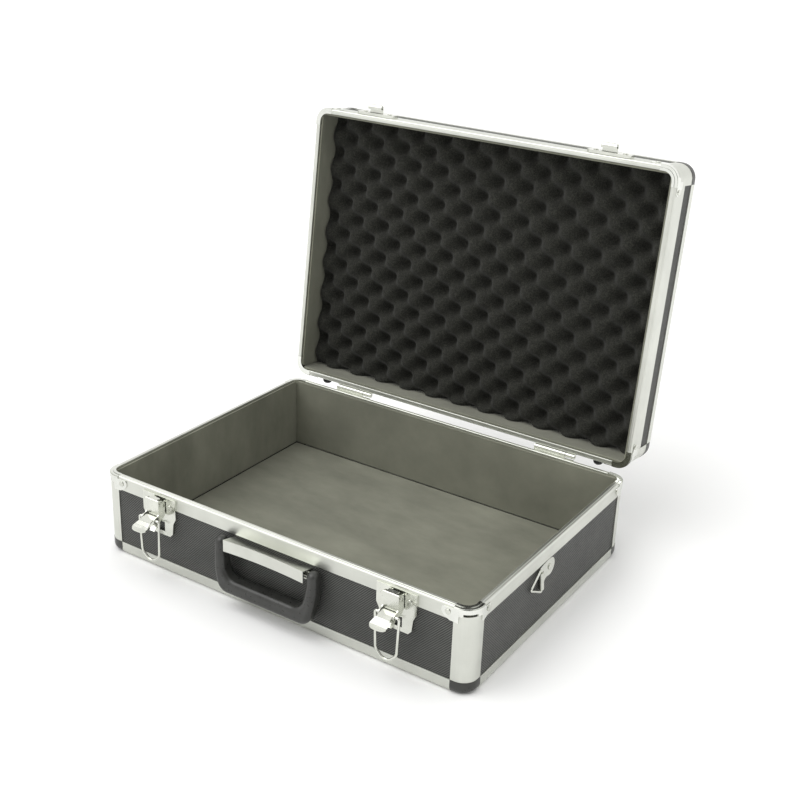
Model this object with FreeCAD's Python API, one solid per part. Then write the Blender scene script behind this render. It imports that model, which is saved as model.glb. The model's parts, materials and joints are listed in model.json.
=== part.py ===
import FreeCAD, Part
import math
import os

os.makedirs("parts", exist_ok=True)

# An aluminium attache case standing open on its base.
# Frame: millimetres, +Z up, +X to the right seen from the handle side, +Y to the hinge side.
# The origin is the middle of the case's underside.

V = FreeCAD.Vector
X_AXIS = V(1, 0, 0)
Y_AXIS = V(0, 1, 0)
Z_AXIS = V(0, 0, 1)

# Case
CASE_W = 457.0
CASE_D = 330.0
BASE_H = 94.0
LID_H = 58.0
CLOSED_GAP = 0.3
CLOSED_TOP = BASE_H + CLOSED_GAP + LID_H
HALF_W = CASE_W / 2
HALF_D = CASE_D / 2
OPEN_ANGLE = 97.0

# Aluminium extrusions
CORNER_R = 16.0
POST_W = 20.5
RAIL_W = 13.7
BASE_BAND = 15.8
LID_BAND = 25.5
SKIN = 1.15
EDGE_R = 5.0
RIM_T = 5.9
RIM_STEP = 2.8

# Boards and linings
BOARD_T = 3.3
BOARD_IN = SKIN + 0.05
BOARD_OUT = BOARD_IN + BOARD_T
LINING_IN = BOARD_OUT + 0.1
LINING_OUT = 8.3
FIT = 0.05

# Steel rim corners
CAP_T = 0.9
CAP_H = 9.0
EAR_BACK = [(14.9, 3.0), (14.9, 16.6), (24.0, 16.3), (30.4, 12.8), (33.0, 8.8), (33.0, 5.0),
            (31.4, 3.0)]
EAR_SIDE = [(14.9, 3.0), (14.9, 15.0), (18.0, 16.6), (22.0, 15.2), (28.4, 9.4), (30.0, 6.6),
            (30.0, 4.4), (28.8, 3.0)]
EAR_RIVET = 26.0

# Hinges
HINGE_Y = HALF_D + 3.2
HINGE_Z = BASE_H + 2.4
HINGE_X = 138.5
HINGE_W = 50.0
KNUCKLE_R = 2.9
KNUCKLE_SPLIT = 38.6
PIN_R = 1.25
LEAF_T = 1.2

# Latches; "out" means the distance in front of the case's front face
LATCH_X = 148.0
PLATE_OUT = 2.1
PLATE_T = 1.2
PLATE_TOP = 90.2
PLATE_BOTTOM = 46.0
LEVER_PIVOT_OUT = 8.9
LEVER_PIVOT_Z = 85.5
LEVER_PIN_R = 1.1
LEVER_HALF_W = 8.9
LEVER_FACE_OUT = 12.2
TAB_HALF_W = 7.2
SHEET_T = 1.2
BAIL_PIVOT_OUT = 17.0
BAIL_PIVOT_Z = 70.0
BAIL_WIRE_R = 1.35
BAIL_HALF_W = 13.4
BAIL_LENGTH = 49.7
CATCH_HALF_W = 8.8
CATCH_DEPTH = 3.2
CATCH_BOTTOM = 95.6
CATCH_TOP = 112.0

# Handle
HANDLE_PIVOT_OUT = 7.6
HANDLE_PIVOT_Z = 71.0
HANDLE_ROD_R = 2.0
HANDLE_ARM_X = 56.8
HANDLE_GRIP_OUT = 18.4
HANDLE_TOP_OUT = 15.5
HANDLE_BACK_OUT = 1.4
HANDLE_ROUND = 5.2
COVER_HALF_W = 49.7
COVER_OUT = 15.6

# Side rings
RING_OUT = 1.55
RING_WIRE_R = 1.25
RING_TOP = (-36.3, 76.5)
RING_LOW = (-31.5, 47.8)
RING_TIP = (-56.9, 61.6)

RUNNING = 0.06


def box(x0, x1, y0, y1, z0, z1):
    return Part.makeBox(x1 - x0, y1 - y0, z1 - z0, V(x0, y0, z0))


def cylinder(radius, length, start, direction):
    return Part.makeCylinder(radius, length, start, direction)


def cut_all(shape, tools):
    for tool in tools:
        shape = shape.cut(tool)
    return shape


def mirror_x(shape):
    return shape.mirror(V(0, 0, 0), X_AXIS)


def mirror_y(shape):
    return shape.mirror(V(0, 0, 0), Y_AXIS)


def four_ways(shape):
    other_side = mirror_x(shape)
    return [shape, other_side, mirror_y(shape), mirror_y(other_side)]


def prism(points, direction):
    face = Part.Face(Part.makePolygon(points + [points[0]]))
    return face.extrude(direction)


def prism_along_x(yz_points, x0, x1):
    return prism([V(x0, y, z) for y, z in yz_points], V(x1 - x0, 0, 0))


def front_prism(xz_points, out0, out1):
    """Outline seen from the front, between two distances in front of the case."""
    return prism([V(x, -HALF_D - out0, z) for x, z in xz_points], V(0, out0 - out1, 0))


def profile_prism(out_z_points, x0, x1):
    """Side profile given as (distance in front of the case, height)."""
    return prism_along_x([(-HALF_D - out, z) for out, z in out_z_points], x0, x1)


def outline_block(inset, z0, z1):
    """The case's rounded outline, moved inwards by inset."""
    half_w = HALF_W - inset
    half_d = HALF_D - inset
    block = box(-half_w, half_w, -half_d, half_d, z0, z1)
    upright = [e for e in block.Edges if abs(e.tangentAt(e.FirstParameter).z) > 0.9]
    return block.makeFillet(max(CORNER_R - inset, 1.0), upright)


def ring(outer_inset, inner_inset, z0, z1):
    return outline_block(outer_inset, z0, z1).cut(outline_block(inner_inset, z0 - 1, z1 + 1))


def corner_box(reach, z0, z1):
    """Box round the right-hand back corner."""
    return box(HALF_W - reach, HALF_W + 5, HALF_D - reach, HALF_D + 5, z0, z1)


def fused(shapes):
    result = shapes[0]
    for shape in shapes[1:]:
        result = result.fuse(shape)
    return result.removeSplitter()


# ---------------------------------------------------------------- shell halves
# Each half is built with its outer face at z = 0 and its rim at z = height.

def side_boards(height):
    low = EDGE_R + FIT
    high = height - 5.1
    long_half = HALF_W - CORNER_R - 0.3
    short_half = HALF_D - CORNER_R - 0.3
    front = box(-long_half, long_half, -HALF_D + BOARD_IN, -HALF_D + BOARD_OUT, low, high)
    right = box(HALF_W - BOARD_OUT, HALF_W - BOARD_IN, -short_half, short_half, low, high)
    return {"front": front, "back": mirror_y(front), "right": right, "left": mirror_x(right)}


def face_board():
    rebate = EDGE_R + FIT
    core = outline_block(rebate, BOARD_IN, BOARD_OUT)
    flush = outline_block(RAIL_W + FIT, 0, BOARD_IN)
    return core.fuse(flush).removeSplitter()


def rim_section(height, band):
    """Rim extrusion: (inset from the outer face, height) points of its closed section."""
    top = height
    arc = []
    for step in range(5):
        angle = math.radians(22.5 * step)
        arc.append((2.2 * (1 - math.cos(angle)), top - 2.7 + 2.2 * math.sin(angle)))
    return ([(0, top - band)] + arc
            + [(RIM_STEP, top - 0.5), (RIM_STEP + 0.4, top), (RIM_T - 0.4, top), (RIM_T, top - 0.4),
               (RIM_T, top - 10), (BOARD_OUT + FIT, top - 10), (BOARD_OUT + FIT, top - 5),
               (SKIN, top - 5), (SKIN, top - band)])


def edge_section():
    """Edge extrusion between a side board and the face board."""
    arc = []
    for step in range(5):
        angle = math.radians(22.5 * step)
        arc.append((EDGE_R * (1 - math.cos(angle)), EDGE_R * (1 - math.sin(angle))))
    return ([(0, RAIL_W)] + arc
            + [(RAIL_W, 0), (RAIL_W, SKIN), (EDGE_R, SKIN), (EDGE_R, EDGE_R), (SKIN, EDGE_R),
               (SKIN, RAIL_W)])


def straight_lengths(section):
    """Front, back, right and left lengths of a section, between the corner pieces."""
    long_half = HALF_W - POST_W - FIT
    short_half = HALF_D - POST_W - FIT
    front = prism_along_x([(-HALF_D + inset, z) for inset, z in section], -long_half, long_half)
    right_points = [V(HALF_W - inset, -short_half, z) for inset, z in section]
    right = prism(right_points, V(0, 2 * short_half, 0))
    return {"front": front, "back": mirror_y(front), "right": right, "left": mirror_x(right)}


def corner_posts(height, boards):
    low = RAIL_W + FIT
    high = height - CAP_H - FIT
    post = ring(0, BOARD_OUT + FIT, low, high).common(corner_box(POST_W, low, high))
    post = cut_all(post, [boards["back"], boards["right"]])
    return Part.makeCompound(four_ways(post))


def face_corners(boards, board):
    """Moulded corners at the ends of the edge extrusions."""
    block = outline_block(-0.35, 0.0, RAIL_W)
    bottom = [e for e in block.Edges if e.BoundBox.ZMax < 0.01]
    block = block.makeFillet(7.0, bottom)
    piece = block.common(corner_box(POST_W, -1, RAIL_W))
    hollow = outline_block(BOARD_OUT + FIT, BOARD_OUT + FIT, RAIL_W + 1)
    piece = cut_all(piece, [hollow, boards["back"], boards["right"], board])
    return Part.makeCompound(four_ways(piece))


def ear(height, outline):
    """Ear of a steel corner on the back face; outline is (distance from the end, drop)."""
    points = [V(HALF_W - reach, HALF_D + 0.02, height - drop) for reach, drop in outline]
    plate = prism(points, V(0, CAP_T - 0.02, 0))
    tip = [e for e in plate.Edges if e.BoundBox.YLength > CAP_T / 2
           and e.BoundBox.XMax < HALF_W - POST_W]
    return plate.makeFillet(1.5, tip)


def turned(shape):
    """A back-face shape moved to the same place on the right-hand face."""
    moved = shape.copy()
    moved.translate(V(-HALF_W, -HALF_D, 0))
    moved = moved.mirror(V(0, 0, 0), V(1, -1, 0))
    moved.translate(V(HALF_W, HALF_D, 0))
    return moved


def steel_corners(height):
    """Bright corner: a bend over the rim, an inner bead and two riveted ears."""
    low = height - CAP_H
    shelf = height - 5.0
    reach = corner_box(POST_W, 0, height + 1)
    skirt = ring(-CAP_T, SKIN - FIT, low, shelf)
    bend = ring(-CAP_T, RIM_STEP - 0.1, shelf, height - 0.6)
    shoulder = ring(-CAP_T - 1, -CAP_T + 0.8, height - 1.4, height)
    slot = corner_box(10.5, low - 1, low + 3.0)
    cap = skirt.fuse(bend).common(reach).cut(shoulder).cut(slot)
    bead = ring(RIM_STEP + 0.1, RIM_T, shelf, height).common(reach)
    bridge = ring(RIM_STEP - 0.2, RIM_STEP + 0.2, height - 4, height - 2).common(reach)
    piece = fused([cap, bridge, bead, ear(height, EAR_BACK), turned(ear(height, EAR_SIDE))])
    return Part.makeCompound(four_ways(piece))


def wall_linings(height):
    """Four boards of lining; the upper part steps back behind the rim's inner leg."""
    floor_z = EDGE_R + FIT
    high = height - 2.2
    step = height - 10.1
    behind = outline_block(LINING_IN, floor_z, step)
    above = outline_block(RIM_T + FIT, step, high)
    body = behind.fuse(above)
    inner_w = HALF_W - LINING_OUT
    inner_d = HALF_D - LINING_OUT
    front = body.common(box(-HALF_W, HALF_W, -HALF_D, -inner_d, 0, height))
    right = body.common(box(inner_w, HALF_W, -inner_d + FIT, inner_d - FIT, 0, height))
    return Part.makeCompound([front, mirror_y(front), right, mirror_x(right)])


def rivet(position, direction, radius, rise):
    head = cylinder(radius, rise, position, direction)
    top = [e for e in head.Edges if abs((e.CenterOfMass - position).dot(direction) - rise) < 0.01]
    return head.makeFillet(rise * 0.6, top)


def corner_rivets(height):
    z = height - 7.8
    back = rivet(V(HALF_W - EAR_RIVET, HALF_D + CAP_T, z), Y_AXIS, 2.9, 1.0)
    side = rivet(V(HALF_W + CAP_T, HALF_D - EAR_RIVET, z), X_AXIS, 2.9, 1.0)
    return four_ways(back) + four_ways(side)


def half_shell(height, band):
    boards = side_boards(height)
    board = face_board()
    return {
        "boards": boards,
        "face_board": board,
        "rims": straight_lengths(rim_section(height, band)),
        "edges": Part.makeCompound(list(straight_lengths(edge_section()).values())),
        "posts": corner_posts(height, boards),
        "moulded": face_corners(boards, board),
        "steel": steel_corners(height),
        "lining": wall_linings(height),
    }


# ------------------------------------------------------------------- latches

def latch_plate(x):
    outline = [(-22.4, PLATE_TOP), (22.4, PLATE_TOP), (22.4, 69.0), (19.0, 62.5), (17.6, 50.0),
               (14.0, PLATE_BOTTOM), (-14.0, PLATE_BOTTOM), (-17.6, 50.0), (-19.0, 62.5),
               (-22.4, 69.0)]
    inner = [(-21.2, PLATE_TOP - 1.2), (21.2, PLATE_TOP - 1.2), (21.2, 69.4), (17.8, 62.8),
             (16.5, 50.5), (13.4, PLATE_BOTTOM + 1.2), (-13.4, PLATE_BOTTOM + 1.2),
             (-16.5, 50.5), (-17.8, 62.8), (-21.2, 69.4)]
    pan = front_prism([(x + px, z) for px, z in outline], -SKIN, PLATE_OUT)
    hollow = front_prism([(x + px, z) for px, z in inner], -SKIN - 1, PLATE_OUT - PLATE_T)
    behind_band = box(x - 30, x + 30, -HALF_D - 0.02, -HALF_D + 3, BASE_H - BASE_BAND - FIT, 95)
    window = front_prism([(x - 7, 50.5), (x + 7, 50.5), (x + 7, 61.5), (x - 7, 61.5)], 0, 5)
    pan = cut_all(pan, [hollow, behind_band, window])
    tongue = profile_prism([(1.0, 61.2), (1.0, 62.4), (3.4, 62.4), (8.6, 59.6), (14.2, 54.2),
                            (13.4, 53.4), (7.9, 58.6), (3.0, 61.2)], x - 3.3, x + 3.3)
    holders = []
    for side in (-1, 1):
        near = min(x + side * 6.1, x + side * 7.3)
        strip = profile_prism([(1.5, 79.5), (1.5, 85.6), (LEVER_PIVOT_OUT, 87.2), (10.2, 84.0),
                               (6.0, 80.5)], near, near + SHEET_T)
        eye = cylinder(1.9, SHEET_T, V(near, -HALF_D - LEVER_PIVOT_OUT, LEVER_PIVOT_Z), X_AXIS)
        holders.append(strip.fuse(eye))
    plate = fused([pan, tongue] + holders)
    bore = cylinder(LEVER_PIN_R, 30, V(x - 15, -HALF_D - LEVER_PIVOT_OUT, LEVER_PIVOT_Z), X_AXIS)
    return plate.cut(bore)


def lever_pin(x):
    centre_y = -HALF_D - LEVER_PIVOT_OUT
    shaft = cylinder(LEVER_PIN_R, 2 * (LEVER_HALF_W + 0.7), V(x - LEVER_HALF_W - 0.7, centre_y,
                                                             LEVER_PIVOT_Z), X_AXIS)
    heads = [cylinder(2.2, 0.6, V(x + LEVER_HALF_W + 0.1, centre_y, LEVER_PIVOT_Z), X_AXIS),
             cylinder(2.2, 0.6, V(x - LEVER_HALF_W - 0.7, centre_y, LEVER_PIVOT_Z), X_AXIS)]
    return fused([shaft] + heads)


def sheet_profile(centre_line, thickness):
    """Closed outline of a bent strip from the points of its middle line."""
    upper = []
    lower = []
    count = len(centre_line)
    for index, (a, b) in enumerate(centre_line):
        before = centre_line[max(index - 1, 0)]
        after = centre_line[min(index + 1, count - 1)]
        run = (after[0] - before[0], after[1] - before[1])
        length = math.hypot(run[0], run[1])
        normal = (-run[1] / length, run[0] / length)
        upper.append((a + normal[0] * thickness / 2, b + normal[1] * thickness / 2))
        lower.append((a - normal[0] * thickness / 2, b - normal[1] * thickness / 2))
    return upper + lower[::-1]


def lever_body(x):
    """Channel-shaped lever: front face, two side walls and the curled thumb tab below."""
    face = profile_prism([(LEVER_FACE_OUT - SHEET_T, 72.9), (LEVER_FACE_OUT, 72.9),
                          (LEVER_FACE_OUT, 90.0), (LEVER_FACE_OUT - 0.5, 90.6),
                          (LEVER_FACE_OUT - SHEET_T, 90.6)], x - LEVER_HALF_W, x + LEVER_HALF_W)
    top = profile_prism([(6.0, 89.4), (11.4, 89.4), (11.4, 90.6), (6.0, 90.6)], x - 5.6, x + 5.6)
    walls = []
    for side in (-1, 1):
        near = x + side * (LEVER_HALF_W - SHEET_T)
        far = x + side * LEVER_HALF_W
        wall = profile_prism([(3.2, 71.0), (3.2, 85.4), (7.0, 89.2), (LEVER_FACE_OUT - 0.6, 90.5),
                              (LEVER_FACE_OUT - 0.6, 75.4), (13.4, 73.6), (17.2, 72.8),
                              (19.1, 71.7), (19.8, 70.0), (19.1, 68.3), (17.2, 67.2),
                              (12.0, 67.4), (5.6, 68.7)],
                             min(near, far), max(near, far))
        walls.append(wall)
    floor = profile_prism([(3.6, 70.8), (3.6, 72.0), (9.4, 72.0), (9.4, 70.8)],
                          x - LEVER_HALF_W + 0.6, x + LEVER_HALF_W - 0.6)
    tab_line = [(8.4, 71.4), (11.2, 71.6), (14.5, 71.6), (18.6, 70.6), (24.0, 68.6), (28.0, 66.6),
                (31.2, 65.1), (33.6, 64.2), (36.2, 63.8)]
    tab = profile_prism(sheet_profile(tab_line, SHEET_T), x - 9.6, x + 9.6)
    right_edge = [(TAB_HALF_W, 0), (TAB_HALF_W, 23.0), (8.7, 27.4), (9.5, 30.4), (9.2, 32.4),
                  (7.8, 34.3), (5.4, 35.5), (2.2, 36.0)]
    left_edge = [(-px, out) for px, out in right_edge[::-1]]
    plan = prism([V(x + px, -HALF_D - out, 50) for px, out in right_edge + left_edge], V(0, 0, 40))
    lever = fused([face, top, floor, tab.common(plan)] + walls)
    pivot = V(x - 15, -HALF_D - LEVER_PIVOT_OUT, LEVER_PIVOT_Z)
    bail_pivot = V(x - 15, -HALF_D - BAIL_PIVOT_OUT, BAIL_PIVOT_Z)
    lever = lever.cut(cylinder(LEVER_PIN_R + RUNNING, 30, pivot, X_AXIS))
    return lever.cut(cylinder(BAIL_WIRE_R + RUNNING, 30, bail_pivot, X_AXIS))


def filleted_path(points, radii, closed=False):
    """Wire through points with rounded bends."""
    count = len(points)
    edges = []
    starts = []
    ends = []
    for index in range(count):
        is_end = not closed and index in (0, count - 1)
        here = points[index]
        if is_end:
            starts.append(here)
            ends.append(here)
            edges.append(None)
            continue
        back = (points[index - 1] - here).normalize()
        ahead = (points[(index + 1) % count] - here).normalize()
        half = back.getAngle(ahead) / 2
        reach = radii[index] / math.tan(half)
        middle = (back + ahead).normalize()
        rise = radii[index] / math.sin(half) - radii[index]
        entry = here + back * reach
        leave = here + ahead * reach
        starts.append(entry)
        ends.append(leave)
        edges.append(Part.Arc(entry, here + middle * rise, leave).toShape())
    path = []
    for index in range(count):
        if edges[index] is not None:
            path.append(edges[index])
        if index < count - 1 or closed:
            path.append(Part.makeLine(ends[index], starts[(index + 1) % count]))
    return Part.Wire(Part.__sortEdges__(path))


def wire_solid(path, radius, start, direction):
    circle = Part.Wire(Part.makeCircle(radius, start, direction))
    return path.makePipeShell([circle], True, True)


def bail(x):
    """Bent wire loop: its two ends turn in through the lever's ears."""
    y = -HALF_D - BAIL_PIVOT_OUT
    inner = LEVER_HALF_W - SHEET_T - 0.35
    shoulder_z = BAIL_PIVOT_Z - 41.0
    corner_z = BAIL_PIVOT_Z - BAIL_LENGTH - 2.8
    points = [V(x - inner, y, BAIL_PIVOT_Z), V(x - BAIL_HALF_W, y, BAIL_PIVOT_Z),
              V(x - 11.8, y, shoulder_z), V(x, y, corner_z), V(x + 11.8, y, shoulder_z),
              V(x + BAIL_HALF_W, y, BAIL_PIVOT_Z), V(x + inner, y, BAIL_PIVOT_Z)]
    path = filleted_path(points, [0, 2.0, 9.0, 9.0, 9.0, 2.0, 0])
    return wire_solid(path, BAIL_WIRE_R, points[0], X_AXIS)


# -------------------------------------------------------------------- handle

def handle_cover():
    """Bent aluminium cover over the handle's rod, slightly arched along its length."""
    sections = []
    for x, arch in ((-COVER_HALF_W, 0.0), (0.0, 1.0), (COVER_HALF_W, 0.0)):
        low = 65.4 + 1.9 * arch
        top = 78.4 + 2.0 * arch
        rear = 74.8 - 3.3 * arch
        y_front = -HALF_D - COVER_OUT
        y_rear = -HALF_D + SKIN
        points = [V(x, y_front, low), V(x, y_front, top), V(x, y_rear, rear),
                  V(x, y_rear, rear - 1.2), V(x, y_front + 1.2, top - 1.3),
                  V(x, y_front + 1.2, low)]
        sections.append(Part.makePolygon(points + [points[0]]))
    return Part.makeLoft(sections, True, False)


def handle_rod():
    start = V(-HANDLE_ARM_X - 3.5, -HALF_D - HANDLE_PIVOT_OUT, HANDLE_PIVOT_Z)
    return cylinder(HANDLE_ROD_R, 2 * (HANDLE_ARM_X + 3.5), start, X_AXIS)


def handle_brackets():
    brackets = []
    bore = handle_rod()
    for x in (-42.0, 0.0, 42.0):
        foot_plate = box(x - 9, x + 9, -HALF_D - 0.4, -HALF_D + SKIN, 60.0, 69.8)
        arm = profile_prism([(0, 61.0), (0, 69.8), (4.2, 73.0), (7.6, 74.4), (10.4, 73.2),
                             (11.2, 70.0), (8.5, 66.8)], x - 1.5, x + 1.5)
        brackets.append(foot_plate.fuse(arm).removeSplitter().cut(bore))
    return Part.makeCompound(brackets)


def handle_outline():
    """The handle seen from the front: two arms and the grip, as a block with rounded bends."""
    right_arm = [(47.6, 34.5, 15.0), (51.6, 60.0, 20.0), (51.6, 82.0, 2.0), (62.4, 82.0, 2.0),
                 (63.8, 60.0, 40.0), (62.0, 44.0, 40.0), (56.0, 18.2, 13.0)]
    left_arm = [(-x, z, bend) for x, z, bend in right_arm[::-1]]
    points = [V(x, -HALF_D, z) for x, z, bend in right_arm + left_arm]
    bends = [bend for x, z, bend in right_arm + left_arm]
    face = Part.Face(filleted_path(points, bends, closed=True))
    return face.extrude(V(0, -30, 0))


def handle_profile():
    """Side view of the handle: thick at the grip, slimmer above, round over the rod."""
    def at(out, z):
        return V(-80, -HALF_D - out, z)

    top_radius = (HANDLE_TOP_OUT - HANDLE_BACK_OUT) / 2
    top_z = HANDLE_PIVOT_Z - 0.5
    taper = Part.BezierCurve()
    taper.setPoles([at(HANDLE_GRIP_OUT, 34), at(HANDLE_GRIP_OUT, 46), at(HANDLE_TOP_OUT, 54),
                    at(HANDLE_TOP_OUT, 66)])
    over = Part.Arc(at(HANDLE_TOP_OUT, top_z),
                    at(HANDLE_BACK_OUT + top_radius, top_z + top_radius),
                    at(HANDLE_BACK_OUT, top_z))
    edges = [Part.makeLine(at(HANDLE_BACK_OUT, top_z), at(HANDLE_BACK_OUT, 5)),
             Part.makeLine(at(HANDLE_BACK_OUT, 5), at(HANDLE_GRIP_OUT, 5)),
             Part.makeLine(at(HANDLE_GRIP_OUT, 5), at(HANDLE_GRIP_OUT, 34)),
             taper.toShape(),
             Part.makeLine(at(HANDLE_TOP_OUT, 66), at(HANDLE_TOP_OUT, top_z)),
             over.toShape()]
    return Part.Face(Part.Wire(edges)).extrude(V(160, 0, 0))


def handle():
    """Moulded handle: a broad grip between two arms that turn on the rod."""
    body = handle_outline().common(handle_profile())
    rounded = []
    for edge in body.Edges:
        along = edge.tangentAt((edge.FirstParameter + edge.LastParameter) / 2)
        grip_edge = edge.BoundBox.XLength > 60
        if abs(along.y) < 0.99 and (abs(along.x) < 0.999 or grip_edge):
            rounded.append(edge)
    body = body.makeFillet(HANDLE_ROUND, rounded)
    reach = HANDLE_ARM_X + 3.6
    start = V(-reach, -HALF_D - HANDLE_PIVOT_OUT, HANDLE_PIVOT_Z)
    return body.cut(cylinder(HANDLE_ROD_R + RUNNING, 2 * reach, start, X_AXIS))


# ---------------------------------------------------------------- side rings

def ring_axis():
    top = V(HALF_W + RING_OUT, RING_TOP[0], RING_TOP[1])
    low = V(HALF_W + RING_OUT, RING_LOW[0], RING_LOW[1])
    return top, low


def ring_plate():
    """Riveted ear whose front edge is rolled round the ring's straight side."""
    panel_x = HALF_W - BOARD_IN
    rim = [(-34.6, 75.6), (-26.0, 77.2), (-17.0, 77.6), (-9.5, 76.6), (-5.0, 72.2), (-3.9, 66.2),
           (-7.2, 60.6), (-13.4, 58.2), (-20.4, 58.8), (-24.2, 55.8), (-25.8, 51.0),
           (-29.4, 48.8), (-31.9, 56.0), (-33.5, 66.0)]
    points = [V(panel_x, y, z) for y, z in rim]
    curve = Part.BSplineCurve()
    curve.interpolate(points, PeriodicFlag=True)
    plate = Part.Face(Part.Wire(curve.toShape())).extrude(V(SHEET_T, 0, 0))
    top, low = ring_axis()
    along = (low - top).normalize()
    start = top + along * 4.4
    length = (low - top).Length - 8.8
    roll = cylinder(2.6, length, start, along)
    roll = roll.common(box(panel_x, HALF_W + 9, -80, 0, 40, 80))
    body = plate.fuse(roll).removeSplitter()
    return body.cut(cylinder(RING_WIRE_R + RUNNING, 60, top - along * 10, along))


def side_ring():
    top, low = ring_axis()
    tip = V(HALF_W + RING_OUT, RING_TIP[0], RING_TIP[1])
    path = filleted_path([top, tip, low], [1.9, 1.9, 1.9], closed=True)
    middle = (top + low) * 0.5
    return wire_solid(path, RING_WIRE_R, middle, (low - top).normalize())


# -------------------------------------------------------------------- hinges

def knuckle(x0, x1, bore_r):
    start = V(x0, HINGE_Y, HINGE_Z)
    barrel = cylinder(KNUCKLE_R, x1 - x0, start, X_AXIS)
    return barrel, cylinder(bore_r, x1 - x0 + 2, V(x0 - 1, HINGE_Y, HINGE_Z), X_AXIS)


def hinge_base_leaf(x):
    x0 = x - HINGE_W / 2
    x1 = x0 + KNUCKLE_SPLIT
    barrel, bore = knuckle(x0, x1, PIN_R)
    leaf_y = HALF_D + 0.04
    leaf = box(x0, x0 + HINGE_W, leaf_y, leaf_y + LEAF_T, 79.5, HINGE_Z - 3.4)
    web = box(x0, x1, leaf_y, leaf_y + LEAF_T, HINGE_Z - 3.5, HINGE_Z)
    return fused([leaf, web, barrel]).cut(bore)


def hinge_lid_leaf(x):
    """Drawn with the lid closed."""
    x0 = x - HINGE_W / 2 + KNUCKLE_SPLIT + 0.5
    x1 = x + HINGE_W / 2
    barrel, bore = knuckle(x0, x1, PIN_R + RUNNING)
    leaf_y = HALF_D + 0.04
    leaf = box(x - HINGE_W / 2, x1, leaf_y, leaf_y + LEAF_T, HINGE_Z + 3.4, HINGE_Z + 17.0)
    web = box(x0, x1, leaf_y, leaf_y + LEAF_T, HINGE_Z, HINGE_Z + 3.5)
    return fused([leaf, web, barrel]).cut(bore)


def hinge_pin(x):
    start = V(x - HINGE_W / 2 - 0.4, HINGE_Y, HINGE_Z)
    return cylinder(PIN_R, HINGE_W + 0.8, start, X_AXIS)


def hinge_rivets(x, z):
    return [rivet(V(x + dx, HALF_D + 0.04 + LEAF_T, z), Y_AXIS, 2.2, 0.8) for dx in (-17, 0, 17)]


# ------------------------------------------------------------- other fittings

def foot(x, z):
    pad = cylinder(5.6, 7.2, V(x, HALF_D + 0.02, z), Y_AXIS)
    outer = [e for e in pad.Edges if e.BoundBox.YMin > HALF_D + 7.1]
    return pad.makeFillet(4.2, outer)


def catch_outline(x, inset):
    """Outline of the catch's shallow pan, moved inwards by inset."""
    low = CATCH_BOTTOM + inset
    high = CATCH_TOP - inset
    half = 25.2 - inset
    right = [(21.2, low), (half, 99.2), (half, 108.2), (20.6, high)]
    left = [(-px, z) for px, z in right[::-1]]
    return [(x + px, z) for px, z in right + left]


def lid_catch(x):
    """Shallow pan with a hook curled out of it; drawn with the lid closed."""
    pan = front_prism(catch_outline(x, 0), 0.02, CATCH_DEPTH)
    hollow = front_prism(catch_outline(x, SHEET_T), -1, CATCH_DEPTH - SHEET_T)
    window = front_prism([(x - 9.4, 97.0), (x + 9.4, 97.0), (x + 9.4, 100.4), (x - 9.4, 100.4)],
                         0.5, CATCH_DEPTH + 1)
    hook_line = [(2.6, 101.4), (9.6, 101.4), (11.6, 100.7), (12.4, 99.0), (11.8, 97.3), (10.2, 96.4),
                 (7.2, 96.4)]
    hook = profile_prism(sheet_profile(hook_line, SHEET_T), x - CATCH_HALF_W, x + CATCH_HALF_W)
    return fused([cut_all(pan, [hollow, window]), hook])


# ------------------------------------------------------------------- the lid

def lid_closed(shape):
    """Turns a half shell over and sets it on the base's rim."""
    flipped = shape.mirror(V(0, 0, 0), Z_AXIS)
    flipped.translate(V(0, 0, CLOSED_TOP))
    return flipped


def lid_open(shape):
    opened = shape.copy()
    opened.rotate(V(0, HINGE_Y, HINGE_Z), X_AXIS, -OPEN_ANGLE)
    return opened


def save(name, shape):
    shape.exportStep("parts/" + name + ".step")


def build_base():
    shell = half_shell(BASE_H, BASE_BAND)
    for side, board in shell["boards"].items():
        save("base_panel_" + side, board)
    for side, rim in shell["rims"].items():
        save("base_rim_" + side, rim)
    save("base_panel_bottom", shell["face_board"])
    save("base_edge_rails", shell["edges"])
    save("base_corner_posts", shell["posts"])
    save("base_moulded_corners", shell["moulded"])
    save("base_steel_corners", shell["steel"])
    save("base_wall_lining", shell["lining"])
    floor = outline_block(LINING_OUT + 0.1, BOARD_OUT + FIT, BOARD_OUT + FIT + 2.2)
    save("base_floor_pad", floor)
    feet = [foot(x, 30.0) for x in (-187.5, 187.5)]
    save("base_rubber_feet", Part.makeCompound(feet))
    rivets = corner_rivets(BASE_H)
    for x in (-LATCH_X, LATCH_X):
        for dx in (-14.2, 14.2):
            position = V(x + dx, -HALF_D - PLATE_OUT, 80.2)
            rivets.append(rivet(position, V(0, -1, 0), 3.3, 1.1))
    for x in (-HINGE_X, HINGE_X):
        rivets += hinge_rivets(x, 86.0)
    ring_rivet = rivet(V(HALF_W - BOARD_IN + SHEET_T, -14.6, 68.4), X_AXIS, 3.2, 1.1)
    rivets += [ring_rivet, mirror_x(ring_rivet)]
    save("base_rivets", Part.makeCompound(rivets))


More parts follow.
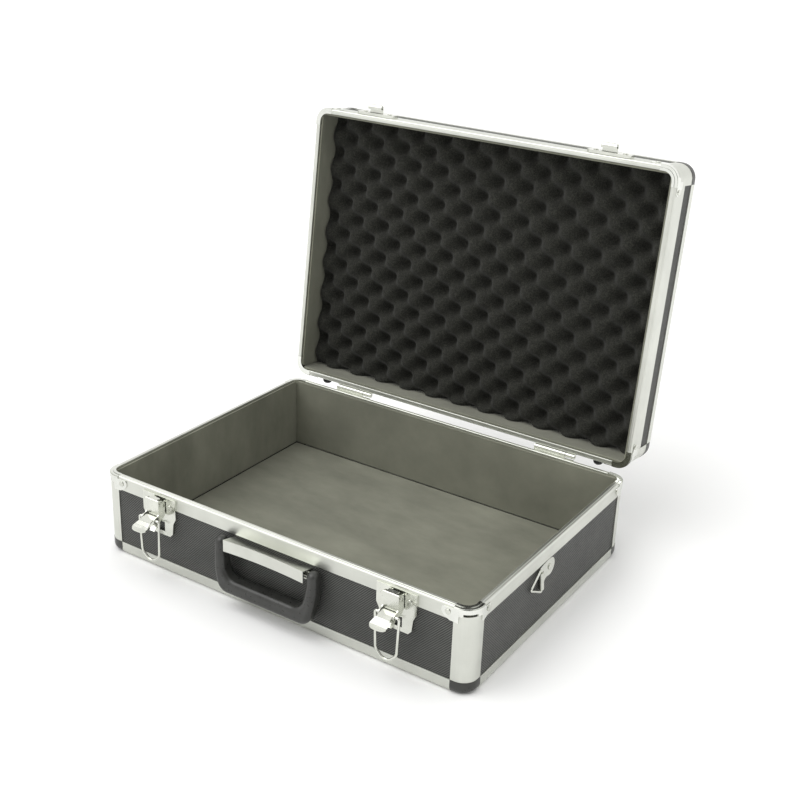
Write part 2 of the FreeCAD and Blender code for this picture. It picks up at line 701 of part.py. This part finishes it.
def build_lid():
    shell = half_shell(LID_H, LID_BAND)
    names = {"face_board": "lid_panel_top", "edges": "lid_edge_rails", "posts": "lid_corner_posts",
             "moulded": "lid_moulded_corners", "steel": "lid_steel_corners",
             "lining": "lid_wall_lining"}
    for key, name in names.items():
        save(name, lid_open(lid_closed(shell[key])))
    for side, board in shell["boards"].items():
        save("lid_panel_" + side, lid_open(lid_closed(board)))
    for side, rim in shell["rims"].items():
        save("lid_rim_" + side, lid_open(lid_closed(rim)))
    foam = outline_block(LINING_OUT + 0.5, BOARD_OUT + 0.3, 34.0)
    save("lid_foam_pad", lid_open(lid_closed(foam)))
    rivets = [lid_closed(shape) for shape in corner_rivets(LID_H)]
    for x in (-HINGE_X, HINGE_X):
        rivets += hinge_rivets(x, HINGE_Z + 11.0)
    for x in (-LATCH_X, LATCH_X):
        for dx in (-17.0, 17.0):
            position = V(x + dx, -HALF_D - CATCH_DEPTH, 103.8)
            rivets.append(rivet(position, V(0, -1, 0), 2.8, 0.9))
    save("lid_rivets", lid_open(Part.makeCompound(rivets)))
    feet = [foot(x, 106.5) for x in (-187.5, 187.5)]
    save("lid_rubber_feet", lid_open(Part.makeCompound(feet)))
    for name, x in (("left", -LATCH_X), ("right", LATCH_X)):
        save("lid_catch_" + name, lid_open(lid_catch(x)))
    for name, x in (("left", -HINGE_X), ("right", HINGE_X)):
        save("hinge_lid_leaf_" + name, lid_open(hinge_lid_leaf(x)))


def build_fittings():
    for name, x in (("left", -LATCH_X), ("right", LATCH_X)):
        save("latch_plate_" + name, latch_plate(x))
        save("latch_pin_" + name, lever_pin(x))
        save("latch_lever_" + name, lever_body(x))
        save("latch_bail_" + name, bail(x))
    for name, x in (("left", -HINGE_X), ("right", HINGE_X)):
        save("hinge_base_leaf_" + name, hinge_base_leaf(x))
    save("hinge_pins", Part.makeCompound([hinge_pin(-HINGE_X), hinge_pin(HINGE_X)]))
    save("handle_cover", handle_cover())
    save("handle_rod", handle_rod())
    save("handle_brackets", handle_brackets())
    save("handle", handle())
    plate = ring_plate()
    save("ring_plate_right", plate)
    save("ring_plate_left", mirror_x(plate))
    loop = side_ring()
    save("side_ring_right", loop)
    save("side_ring_left", mirror_x(loop))


build_base()
build_lid()
build_fittings()
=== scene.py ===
import json
import math

import bpy
import bmesh
from mathutils import Matrix, Vector


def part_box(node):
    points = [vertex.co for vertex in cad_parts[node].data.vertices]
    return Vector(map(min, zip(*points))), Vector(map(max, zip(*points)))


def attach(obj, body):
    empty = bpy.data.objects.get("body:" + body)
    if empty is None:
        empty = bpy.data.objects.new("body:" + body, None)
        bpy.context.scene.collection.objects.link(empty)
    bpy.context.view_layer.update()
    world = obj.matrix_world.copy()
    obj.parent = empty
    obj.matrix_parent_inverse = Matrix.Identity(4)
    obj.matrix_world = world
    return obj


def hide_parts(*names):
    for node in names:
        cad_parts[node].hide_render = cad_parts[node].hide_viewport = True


# The looks of an open aluminium attache case: materials for the CAD pieces, and new meshes for
# the ribbed panel skins, the fabric-covered boards and the egg-crate foam.

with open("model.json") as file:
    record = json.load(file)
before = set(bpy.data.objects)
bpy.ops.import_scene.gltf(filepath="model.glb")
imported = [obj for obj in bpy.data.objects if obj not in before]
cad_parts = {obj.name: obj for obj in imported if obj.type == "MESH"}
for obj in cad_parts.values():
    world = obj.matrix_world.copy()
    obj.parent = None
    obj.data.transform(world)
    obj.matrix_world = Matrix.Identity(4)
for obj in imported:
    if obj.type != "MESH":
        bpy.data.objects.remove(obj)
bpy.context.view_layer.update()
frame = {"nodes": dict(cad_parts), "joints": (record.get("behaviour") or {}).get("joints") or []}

# Sizes in metres, as in the CAD.
MM = 0.001
HALF_W, HALF_D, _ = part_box("base_corner_posts")[1]
BASE_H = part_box("base_rim_front")[1].z
LID_H = 58 * MM
CLOSED_TOP = BASE_H + 0.3 * MM + LID_H    # a thin gap stays between the closed rims
BAND_BASE = 15.8 * MM                     # height of the rim's outer band
BAND_LID = 25.5 * MM
RAIL_W = 13.7 * MM                        # edge extrusions round the flat faces
POST_W = 20.5 * MM
PANEL_IN = 1.2 * MM                       # the panels sit this far inside the frame's outer face

RIB_PITCH = 1.92 * MM
RIB_HEIGHT = 0.42 * MM
RIB_LEAN = math.radians(46)
RIB_STEPS = 6                             # mesh strips to one rib
RIB_FULLNESS = 0.8                        # below 1, the crests are broader than the valleys
SKIN_GAP = 0.1 * MM                       # clearance between a skin and its frame
SKIN_BACK = -0.02 * MM

BOARD_OUT = 6.0 * MM                      # lining boards, measured in from the case's outer face
BOARD_IN = 8.3 * MM
BOARD_FOOT = 6.9 * MM
BOARD_BELOW_RIM = 2.3 * MM
BOARD_GAP = 0.1 * MM
BOARD_ARRIS = 0.5 * MM
BOARD_UNEVEN = 0.18 * MM
PAD_SEAM = 0.7 * MM                       # the dark line round the floor board

FOAM_PITCH_X = 37.1 * MM
FOAM_PITCH_Y = 38.9 * MM
FOAM_START_X = -7.9 * MM
FOAM_START_Y = 4.3 * MM
FOAM_BACK = 5.2 * MM
FOAM_MEAN = 27.0 * MM
FOAM_WAVE = 8.6 * MM
FOAM_PEAK_SHAPE = 1.7                     # above 1, the peaks are broader than the pits
FOAM_DRIFT = 0.4 * MM
FOAM_GAP = 0.8 * MM
FOAM_EDGE_DROP = 1.2 * MM
FOAM_EDGE_W = 2.5 * MM
FOAM_STEPS = 22                           # mesh steps to one pitch

CAD_CREASE = 35                           # degrees; sharper edges are shaded hard
BOARD_CREASE = 50
RELIEF_CREASE = 60

hinge = next(j for j in frame["joints"] if j["name"] == "lid_hinge")
HINGE_AT = Vector(hinge["pos_m"])
OPEN_ANGLE = math.radians(hinge["range_deg"][1])
OPEN_LID = (Matrix.Translation(HINGE_AT) @ Matrix.Rotation(-OPEN_ANGLE, 4, "X")
            @ Matrix.Translation(-HINGE_AT))
# The lid is drawn as a tray with its outer face at z = 0, like the base, and then turned over.
LID_PLACE = OPEN_LID @ Matrix.Translation((0, 0, CLOSED_TOP)) @ Matrix.Scale(-1, 4, (0, 0, 1))


# ------------------------------------------------------------------ materials

class Nodes:
    """Short calls for building one material's node tree."""

    def __init__(self, name):
        self.material = bpy.data.materials.new(name)
        self.material.use_nodes = True
        self.tree = self.material.node_tree
        self.shader = self.tree.nodes["Principled BSDF"]
        self.coords = self.tree.nodes.new("ShaderNodeTexCoord").outputs["Object"]

    def link(self, a, b):
        self.tree.links.new(a, b)

    def turned(self, angles, scale=(1, 1, 1)):
        mapping = self.tree.nodes.new("ShaderNodeMapping")
        mapping.inputs["Rotation"].default_value = angles
        mapping.inputs["Scale"].default_value = scale
        self.link(self.coords, mapping.inputs["Vector"])
        return mapping.outputs["Vector"]

    def noise(self, scale, detail=4.0, rough=0.55, vector=None):
        node = self.tree.nodes.new("ShaderNodeTexNoise")
        node.inputs["Scale"].default_value = scale
        node.inputs["Detail"].default_value = detail
        node.inputs["Roughness"].default_value = rough
        self.link(vector if vector is not None else self.coords, node.inputs["Vector"])
        return node.outputs["Fac"]

    def cells(self, scale):
        node = self.tree.nodes.new("ShaderNodeTexVoronoi")
        node.inputs["Scale"].default_value = scale
        self.link(self.coords, node.inputs["Vector"])
        return node.outputs["Distance"]

    def span(self, value, low, high, start=0.3, end=0.7):
        node = self.tree.nodes.new("ShaderNodeMapRange")
        node.inputs["From Min"].default_value = start
        node.inputs["From Max"].default_value = end
        node.inputs["To Min"].default_value = low
        node.inputs["To Max"].default_value = high
        self.link(value, node.inputs["Value"])
        return node.outputs["Result"]

    def mix(self, factor, dark, light):
        """Blends two fixed colours."""
        node = self.tree.nodes.new("ShaderNodeMix")
        node.data_type = "RGBA"
        node.inputs["A"].default_value = (*dark, 1)
        node.inputs["B"].default_value = (*light, 1)
        self.link(factor, node.inputs["Factor"])
        return node.outputs["Result"]

    def attribute(self, name):
        node = self.tree.nodes.new("ShaderNodeAttribute")
        node.attribute_name = name
        return node.outputs["Fac"]

    def blend(self, factor, first, second):
        """Blends two colours that come from other nodes."""
        node = self.tree.nodes.new("ShaderNodeMix")
        node.data_type = "RGBA"
        self.link(first, node.inputs["A"])
        self.link(second, node.inputs["B"])
        self.link(factor, node.inputs["Factor"])
        return node.outputs["Result"]

    def bump(self, height, distance, strength=1.0, after=None):
        node = self.tree.nodes.new("ShaderNodeBump")
        node.inputs["Strength"].default_value = strength
        node.inputs["Distance"].default_value = distance
        self.link(height, node.inputs["Height"])
        if after is not None:
            self.link(after, node.inputs["Normal"])
        return node.outputs["Normal"]

    def colour(self, output):
        self.link(output, self.shader.inputs["Base Color"])

    def roughness(self, output):
        self.link(output, self.shader.inputs["Roughness"])

    def normal(self, output):
        self.link(output, self.shader.inputs["Normal"])


def brushed_aluminium(name, along, tilt=0.0):
    """Satin anodised extrusion with fine draw lines along one axis."""
    n = Nodes(name)
    n.shader.inputs["Metallic"].default_value = 1.0
    stretch = {"x": (6, 900, 900), "y": (900, 6, 900), "z": (900, 900, 6)}[along]
    lines = n.noise(1.0, 3.0, 0.6, n.turned((tilt, 0, 0), stretch))
    smudge = n.noise(22.0, 5.0)
    n.colour(n.mix(n.span(smudge, 0, 1), (0.575, 0.585, 0.540), (0.66, 0.67, 0.62)))
    n.roughness(n.span(lines, 0.30, 0.44))
    n.normal(n.bump(lines, 0.02 * MM, 0.35))
    return n.material


def plated(name, dark, light, rough_low, rough_high):
    """Bright plated steel with faint handling marks."""
    n = Nodes(name)
    n.shader.inputs["Metallic"].default_value = 1.0
    marks = n.noise(45.0, 4.0, 0.5)
    n.colour(n.mix(n.span(marks, 0, 1), dark, light))
    n.roughness(n.span(n.noise(120.0, 3.0), rough_low, rough_high))
    n.normal(n.bump(n.noise(70.0, 2.0), 0.15 * MM, 0.04))
    return n.material


def moulded_plastic(name, dark, light):
    """Black plastic with a fine spark-eroded grain."""
    n = Nodes(name)
    n.shader.inputs["Specular IOR Level"].default_value = 0.45
    n.colour(n.mix(n.span(n.noise(70.0, 5.0), 0, 1), dark, light))
    n.roughness(n.span(n.noise(300.0, 3.0), 0.26, 0.36))
    n.normal(n.bump(n.noise(2600.0, 2.0), 0.04 * MM, 0.25))
    return n.material


def panel_skin(name):
    """Dark plastic sheet with painted highlights on its rib crests and painted shade in the rib
    valleys; the ribs themselves are real geometry.
    """
    n = Nodes(name)
    n.shader.inputs["Specular IOR Level"].default_value = 0.4
    # Painted light: each rib's rise blends a near-black painted shade in the valleys with a paler
    # painted highlight on the crests.
    rib_rise_for_painted_light = n.span(n.attribute("rib"), 0, 1, 0.15, 0.95)
    smudge = n.span(n.noise(35.0, 5.0), 0, 1)
    painted_valley_shade = n.mix(smudge, (0.006, 0.006, 0.006), (0.012, 0.012, 0.011))
    painted_crest_highlight = n.mix(smudge, (0.074, 0.076, 0.070), (0.104, 0.106, 0.098))
    n.colour(n.blend(rib_rise_for_painted_light, painted_valley_shade, painted_crest_highlight))
    n.roughness(n.span(n.noise(500.0, 3.0), 0.38, 0.55))
    n.normal(n.bump(n.noise(1800.0, 2.0), 0.05 * MM, 0.4))
    return n.material


def board_fabric(name):
    """Thin grey-olive sheet lining with wipe marks and a short nap."""
    n = Nodes(name)
    n.shader.inputs["Specular IOR Level"].default_value = 0.25
    n.shader.inputs["Sheen Weight"].default_value = 0.25
    n.shader.inputs["Sheen Roughness"].default_value = 0.5
    swirl = n.noise(9.0, 7.0, 0.62, n.turned((0.3, 0.2, 0.6), (1.0, 2.2, 1.0)))
    n.colour(n.mix(n.span(swirl, 0, 1), (0.150, 0.152, 0.117), (0.250, 0.252, 0.198)))
    n.roughness(n.span(n.noise(50.0, 5.0), 0.62, 0.85))
    nap = n.bump(n.noise(1500.0, 4.0, 0.7), 0.12 * MM, 0.6)
    n.normal(n.bump(swirl, 0.5 * MM, 0.25, nap))
    return n.material


def open_foam(name):
    """Charcoal foam with visible cells."""
    n = Nodes(name)
    n.shader.inputs["Specular IOR Level"].default_value = 0.2
    n.shader.inputs["Sheen Weight"].default_value = 0.08
    cells = n.cells(800.0)
    n.colour(n.mix(n.span(cells, 0, 1, 0.1, 0.8),
                   (0.0030, 0.0030, 0.0025), (0.0330, 0.0335, 0.0275)))
    n.roughness(n.span(n.noise(200.0, 4.0), 0.8, 0.97))
    n.normal(n.bump(cells, 0.4 * MM, 0.7))
    return n.material


def rubber(name):
    """Dull black rubber of the feet."""
    n = Nodes(name)
    n.colour(n.mix(n.noise(90.0, 4.0), (0.012, 0.012, 0.012), (0.022, 0.022, 0.022)))
    n.roughness(n.span(n.noise(240.0, 3.0), 0.55, 0.75))
    n.normal(n.bump(n.noise(1500.0, 2.0), 0.06 * MM, 0.5))
    return n.material


def floor_paint(name):
    """Matt white of the studio floor."""
    n = Nodes(name)
    n.colour(n.mix(n.noise(3.0, 3.0), (0.93, 0.93, 0.93), (0.96, 0.96, 0.96)))
    n.roughness(n.span(n.noise(40.0, 3.0), 0.85, 0.95))
    return n.material


LID_TILT = OPEN_ANGLE - math.radians(90)
ALU_X = brushed_aluminium("satin_aluminium_x", "x")
ALU_Y = brushed_aluminium("satin_aluminium_y", "y")
ALU_Z = brushed_aluminium("satin_aluminium_z", "z")
ALU_LID = brushed_aluminium("satin_aluminium_lid", "z", LID_TILT)
STEEL = plated("bright_steel", (0.66, 0.67, 0.63), (0.78, 0.79, 0.75), 0.10, 0.18)
NICKEL = plated("nickel_plate", (0.58, 0.59, 0.54), (0.72, 0.73, 0.67), 0.14, 0.24)
ZINC = plated("zinc_plate", (0.56, 0.57, 0.52), (0.70, 0.71, 0.65), 0.18, 0.32)
PLASTIC = moulded_plastic("black_plastic", (0.023, 0.023, 0.021), (0.038, 0.039, 0.036))
SKIN = panel_skin("ribbed_panel_skin")
FABRIC = board_fabric("lining_fabric")
FOAM = open_foam("charcoal_foam")
RUBBER = rubber("feet_rubber")

ALU_BY_PART = {
    "base_rim_front": ALU_X, "base_rim_back": ALU_X, "base_rim_left": ALU_Y,
    "base_rim_right": ALU_Y, "base_edge_rails": ALU_X, "base_corner_posts": ALU_Z,
    "lid_rim_front": ALU_X, "lid_rim_back": ALU_X, "lid_rim_left": ALU_LID,
    "lid_rim_right": ALU_LID, "lid_edge_rails": ALU_LID, "lid_corner_posts": ALU_Z,
    "handle_cover": ALU_X,
}
# For the other nodes, the first of these words found in the name decides.
BY_WORD = [
    ("steel_corners", STEEL), ("latch_", NICKEL), ("catch", NICKEL), ("ring_", NICKEL),
    ("rivets", ZINC), ("hinge_", ZINC), ("handle_rod", ZINC), ("handle_brackets", ZINC),
    ("moulded_corners", PLASTIC), ("rubber", RUBBER), ("panel", SKIN), ("handle", PLASTIC),
    ("lining", FABRIC), ("floor_pad", FABRIC), ("foam", FOAM),
]


def material_for(name):
    if name in ALU_BY_PART:
        return ALU_BY_PART[name]
    return next(material for word, material in BY_WORD if word in name)


def paint(obj, material):
    obj.data.materials.clear()
    obj.data.materials.append(material)


def round_arrises(obj, width):
    bevel = obj.modifiers.new("edge_break", "BEVEL")
    bevel.width = width
    bevel.segments = 3
    bevel.limit_method = "ANGLE"
    bevel.angle_limit = math.radians(40)
    bevel.use_clamp_overlap = True


def smooth_by_angle(obj, degrees):
    """Shades smooth, apart from edges that turn by more than an angle."""
    obj.data.shade_smooth()
    obj.data.set_sharp_from_angle(angle=math.radians(degrees))


for name, node in frame["nodes"].items():
    paint(node, material_for(name))
    smooth_by_angle(node, CAD_CREASE)


# --------------------------------------------------------------- mesh helpers

def add_mesh(name, bm, body, material, place=None):
    """Makes an object of a bmesh and lets it ride on a CAD body."""
    mesh = bpy.data.meshes.new(name)
    if place is not None:
        bm.transform(place)
    bmesh.ops.recalc_face_normals(bm, faces=bm.faces)
    bm.to_mesh(mesh)
    bm.free()
    obj = bpy.data.objects.new(name, mesh)
    bpy.context.scene.collection.objects.link(obj)
    paint(obj, material)
    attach(obj, body)
    return obj


def close_back(bm, depth):
    """Turns an open sheet into a solid: its border goes down to a flat back at a depth."""
    border = [e for e in bm.edges if e.is_boundary]
    for part in bmesh.ops.extrude_edge_only(bm, edges=border)["geom"]:
        if isinstance(part, bmesh.types.BMVert):
            part.co.z = depth
    bmesh.ops.holes_fill(bm, edges=[e for e in bm.edges if e.is_boundary], sides=0)


def ripple(x, y, z):
    """A gentle, repeatable unevenness between -1 and 1."""
    return (math.sin(31 * x + 17 * y) * math.cos(23 * y - 29 * z) * 0.6
            + math.sin(67 * x - 53 * z + 41 * y) * 0.4)


# ---------------------------------------------------------- ribbed panel skins

def ribbed_skin(name, width, height, lean, place, body):
    """Sheet in its own XY plane, ribs standing towards +Z and leaning by an angle."""
    bm = bmesh.new()
    rib_rise_for_painted_light = bm.verts.layers.float.new("rib")
    along = Vector((math.cos(lean), math.sin(lean), 0))
    across = Vector((-along.y, along.x, 0))
    reach = (width + height) / 2 + 2 * RIB_PITCH
    count = int(reach / RIB_PITCH) * RIB_STEPS
    previous = None
    for index in range(-count, count + 1):
        phase = index / RIB_STEPS
        rise = RIB_HEIGHT * (0.5 + 0.5 * math.cos(2 * math.pi * phase)) ** RIB_FULLNESS
        middle = across * (phase * RIB_PITCH) + Vector((0, 0, rise))
        pair = [bm.verts.new(middle - along * reach), bm.verts.new(middle + along * reach)]
        for vert in pair:
            # The rise fraction is kept for the skin's painted valley shade and crest highlight.
            vert[rib_rise_for_painted_light] = rise / RIB_HEIGHT
        if previous is not None:
            bm.faces.new((previous[0], previous[1], pair[1], pair[0]))
        previous = pair
    sides = [((width / 2, 0, 0), (1, 0, 0)), ((-width / 2, 0, 0), (-1, 0, 0)),
             ((0, height / 2, 0), (0, 1, 0)), ((0, -height / 2, 0), (0, -1, 0))]
    for point, normal in sides:
        geometry = bm.verts[:] + bm.edges[:] + bm.faces[:]
        bmesh.ops.bisect_plane(bm, geom=geometry, plane_co=point, plane_no=normal,
                               clear_outer=True)
    close_back(bm, SKIN_BACK)
    obj = add_mesh(name, bm, body, SKIN, place)
    smooth_by_angle(obj, RELIEF_CREASE)


def frame_matrix(origin, x_axis, y_axis):
    """Matrix whose XY plane has the given origin and axes."""
    x = Vector(x_axis)
    y = Vector(y_axis)
    z = x.cross(y)
    return Matrix.Translation(origin) @ Matrix((x, y, z)).transposed().to_4x4()


def panel_skins(tag, height, band, place):
    """Ribbed skins on the four walls of one half; the half's tag is its body's name too."""
    low = RAIL_W + SKIN_GAP
    high = height - band - SKIN_GAP
    middle = (low + high) / 2
    rise = high - low
    face_y = HALF_D - PANEL_IN
    face_x = HALF_W - PANEL_IN
    long_w = 2 * (HALF_W - POST_W - SKIN_GAP)
    short_w = 2 * (HALF_D - POST_W - SKIN_GAP)
    walls = [
        ("front", long_w, (0, -face_y, middle), (1, 0, 0), RIB_LEAN),
        ("back", long_w, (0, face_y, middle), (-1, 0, 0), RIB_LEAN),
        ("right", short_w, (face_x, 0, middle), (0, 1, 0), -RIB_LEAN),
        ("left", short_w, (-face_x, 0, middle), (0, -1, 0), -RIB_LEAN),
    ]
    for side, width, origin, x_axis, slant in walls:
        plane = frame_matrix(origin, x_axis, (0, 0, 1))
        ribbed_skin(f"{tag}_skin_{side}", width, rise, slant, place @ plane, tag)


panel_skins("base", BASE_H, BAND_BASE, Matrix.Identity(4))
panel_skins("lid", LID_H, BAND_LID, LID_PLACE)
top_w = 2 * (HALF_W - RAIL_W - SKIN_GAP)
top_d = 2 * (HALF_D - RAIL_W - SKIN_GAP)
ribbed_skin("lid_skin_top", top_w, top_d, RIB_LEAN,
            LID_PLACE @ frame_matrix((0, 0, 0), (1, 0, 0), (0, -1, 0)), "lid")


# ------------------------------------------------------------ soft pieces

def soft_board(name, low, high, body, place, cell=6 * MM):
    """Fabric-covered board: a finely divided box with rounded arrises and a slight unevenness."""
    bm = bmesh.new()
    size = [high[i] - low[i] for i in range(3)]
    count = [max(2, int(size[i] / cell)) for i in range(3)]
    lattice = {}

    def vertex(i, j, k):
        key = (i, j, k)
        if key not in lattice:
            co = Vector([low[a] + size[a] * key[a] / count[a] for a in range(3)])
            lattice[key] = bm.verts.new(co)
        return lattice[key]

    for axis in range(3):
        u, v = [a for a in range(3) if a != axis]
        for level in (0, count[axis]):
            for a in range(count[u]):
                for b in range(count[v]):
                    corners = []
                    for da, db in ((0, 0), (1, 0), (1, 1), (0, 1)):
                        key = [0, 0, 0]
                        key[axis] = level
                        key[u] = a + da
                        key[v] = b + db
                        corners.append(vertex(*key))
                    bm.faces.new(corners)
    thin = size.index(min(size))
    middle = (low[thin] + high[thin]) / 2
    for vert in bm.verts:
        inwards = 1 if vert.co[thin] < middle else -1
        vert.co[thin] += inwards * abs(BOARD_UNEVEN * ripple(*vert.co))
    obj = add_mesh(name, bm, body, FABRIC, place)
    smooth_by_angle(obj, BOARD_CREASE)
    round_arrises(obj, BOARD_ARRIS)
    return obj


def wall_boards(tag, height, place):
    """Four lining boards standing against the walls of one half, together in place of its one
    CAD node. The side boards fit between the front and back ones."""
    low_z = BOARD_FOOT
    high_z = height - BOARD_BELOW_RIM
    back_in = HALF_D - BOARD_IN
    back_out = HALF_D - BOARD_OUT
    side_in = HALF_W - BOARD_IN
    side_out = HALF_W - BOARD_OUT
    end = back_in - BOARD_GAP
    boards = {
        "front": ((-side_out, -back_out, low_z), (side_out, -back_in, high_z)),
        "back": ((-side_out, back_in, low_z), (side_out, back_out, high_z)),
        "left": ((-side_out, -end, low_z), (-side_in, end, high_z)),
        "right": ((side_in, -end, low_z), (side_out, end, high_z)),
    }
    made = [soft_board(f"{tag}_lining_{side}", low, high, tag, place)
            for side, (low, high) in boards.items()]
    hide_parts(f"{tag}_wall_lining")


wall_boards("base", BASE_H, Matrix.Identity(4))
wall_boards("lid", LID_H, LID_PLACE)

seam = Vector((PAD_SEAM, PAD_SEAM, 0))
pad_low, pad_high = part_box("base_floor_pad")
pad = soft_board("base_floor_board", pad_low + seam, pad_high - seam, "base",
                 Matrix.Identity(4), cell=9 * MM)
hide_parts("base_floor_pad")


def foam_height(x, y):
    """Egg-crate surface: broad rounded peaks on a staggered lattice, narrower pits between."""
    along = 2 * math.pi * (x - FOAM_START_X) / FOAM_PITCH_X
    across = 2 * math.pi * (y - FOAM_START_Y) / FOAM_PITCH_Y
    t = math.cos(along) * math.cos(across)
    shaped = 1 - 2 * ((1 - t) / 2) ** FOAM_PEAK_SHAPE
    drift = FOAM_DRIFT * ripple(x * 1.7, y * 1.7, 0)
    return FOAM_MEAN + FOAM_WAVE * shaped + drift


def egg_crate():
    """The lid's foam, one solid with its surface in relief and its border slightly rounded."""
    bm = bmesh.new()
    half_x = HALF_W - BOARD_IN - FOAM_GAP
    half_y = HALF_D - BOARD_IN - FOAM_GAP
    nx = int(2 * half_x / FOAM_PITCH_X * FOAM_STEPS)
    ny = int(2 * half_y / FOAM_PITCH_Y * FOAM_STEPS)
    grid = []
    for i in range(nx + 1):
        x = -half_x + 2 * half_x * i / nx
        row = []
        for j in range(ny + 1):
            y = -half_y + 2 * half_y * j / ny
            edge = min(half_x - abs(x), half_y - abs(y))
            rounding = FOAM_EDGE_DROP * max(0.0, 1 - edge / FOAM_EDGE_W) ** 2
            row.append(bm.verts.new((x, y, foam_height(x, y) - rounding)))
        grid.append(row)
    for i in range(nx):
        for j in range(ny):
            bm.faces.new((grid[i][j], grid[i + 1][j], grid[i + 1][j + 1], grid[i][j + 1]))
    close_back(bm, FOAM_BACK)
    obj = add_mesh("lid_egg_crate_foam", bm, "lid", FOAM, LID_PLACE)
    smooth_by_angle(obj, RELIEF_CREASE)
    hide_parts("lid_foam_pad")


egg_crate()


# ------------------------------------------------------- stage, light, camera

FLOOR_REACH = 30.0
FLOOR_Z = -0.2 * MM
SUN_TOWARDS = (0.45, 0.50, -1.0)
SUN_STRENGTH = 1.15
SUN_SPREAD = 50                           # degrees

# The studio is bright all round and dims towards one direction. The last two numbers are cosines
# of the angle from that direction, where the dimming starts and where it is complete.
STUDIO_LEVEL = 1.10
DIM_LEVEL = 0.18
DIM_TOWARDS = Vector((0.57, -0.82, 0.62)).normalized()
DIM_STARTS = 0.84
DIM_COMPLETE = 0.97

CAMERA_AT = Vector((671.2, -989.3, 709.6)) * MM
LOOK = Vector((-0.4892, 0.7752, -0.3997)).normalized()
RIGHT = Vector((0.8363, 0.547, 0.0373))
LENS = 56.0                               # for a sensor 36 mm wide


def add_stage():
    """A wide, pale floor just under the case."""
    bm = bmesh.new()
    bmesh.ops.create_grid(bm, x_segments=1, y_segments=1, size=FLOOR_REACH)
    mesh = bpy.data.meshes.new("floor")
    bm.to_mesh(mesh)
    bm.free()
    floor = bpy.data.objects.new("floor", mesh)
    floor.location.z = FLOOR_Z
    bpy.context.scene.collection.objects.link(floor)
    paint(floor, floor_paint("pale_floor"))


def add_sun():
    """Wide, even light from one side, like a large softbox far away."""
    data = bpy.data.lights.new("softbox", "SUN")
    data.energy = SUN_STRENGTH
    data.angle = math.radians(SUN_SPREAD)
    light = bpy.data.objects.new("softbox", data)
    light.rotation_euler = Vector(SUN_TOWARDS).to_track_quat("-Z", "Y").to_euler()
    bpy.context.scene.collection.objects.link(light)


def add_world():
    """White studio walls, with a dim stretch on the camera's side for the metal to mirror."""
    world = bpy.data.worlds.new("studio")
    bpy.context.scene.world = world
    world.use_nodes = True
    tree = world.node_tree
    background = tree.nodes["Background"]
    background.inputs["Color"].default_value = (1.0, 1.0, 0.985, 1)
    coords = tree.nodes.new("ShaderNodeTexCoord")
    facing = tree.nodes.new("ShaderNodeVectorMath")
    facing.operation = "DOT_PRODUCT"
    facing.inputs[1].default_value = DIM_TOWARDS
    fade = tree.nodes.new("ShaderNodeMapRange")
    fade.inputs["From Min"].default_value = DIM_STARTS
    fade.inputs["From Max"].default_value = DIM_COMPLETE
    fade.inputs["To Min"].default_value = STUDIO_LEVEL
    fade.inputs["To Max"].default_value = DIM_LEVEL
    tree.links.new(coords.outputs["Generated"], facing.inputs[0])
    tree.links.new(facing.outputs["Value"], fade.inputs["Value"])
    tree.links.new(fade.outputs["Result"], background.inputs["Strength"])


def add_camera():
    """Camera at the fitted place, its two directions made square to each other."""
    data = bpy.data.cameras.new("camera")
    data.sensor_width = 36
    data.lens = LENS
    data.shift_x = -0.011
    data.shift_y = -0.007
    data.clip_start = 0.01
    data.clip_end = 50
    camera = bpy.data.objects.new("camera", data)
    bpy.context.scene.collection.objects.link(camera)
    right = (RIGHT - LOOK * RIGHT.dot(LOOK)).normalized()
    up = right.cross(LOOK)
    turn = Matrix((right, up, -LOOK)).transposed()
    camera.matrix_world = Matrix.Translation(CAMERA_AT) @ turn.to_4x4()
    bpy.context.scene.camera = camera


add_stage()
add_world()
add_sun()
add_camera()
bpy.context.scene.view_settings.view_transform = "Standard"
